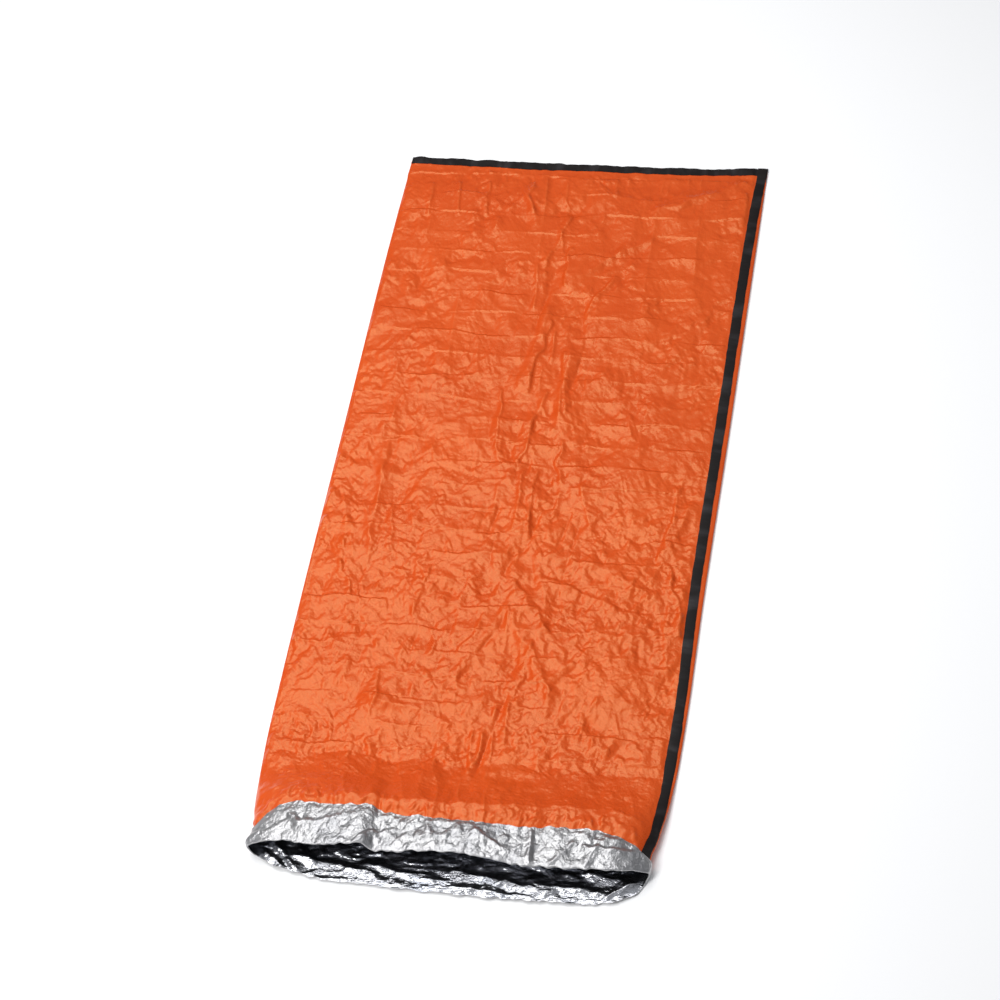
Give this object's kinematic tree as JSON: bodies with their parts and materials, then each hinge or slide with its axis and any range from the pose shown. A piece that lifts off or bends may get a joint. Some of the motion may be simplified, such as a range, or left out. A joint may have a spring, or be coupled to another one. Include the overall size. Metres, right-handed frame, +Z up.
{
  "type": "emergency sleeping bag",
  "caption": "Thin film sleeping bag laid out flat, orange outside and silver inside, with its open mouth turned back in a cuff and dark binding along one side and the foot.",
  "frame": {"origin": "middle of the bag's outline, on the floor it lies on", "axes": "+Z up from the floor; +Y along the bag from its mouth to its foot; +X across it, towards the bound side seam"},
  "size_m": [0.9102, 2.13, 0.0842],
  "materials": {
    "orange_film": "thin coated film, softly glossy and finely crumpled",
    "silver_film": "the same film's metallised inner face, bright and crumpled",
    "binding_tape": "smooth dark tape with a faint sheen"
  },
  "bodies": {
    "root": {"bag_shell": "orange_film", "side_binding": "binding_tape", "foot_binding": "binding_tape"}
  },
  "joints": []
}
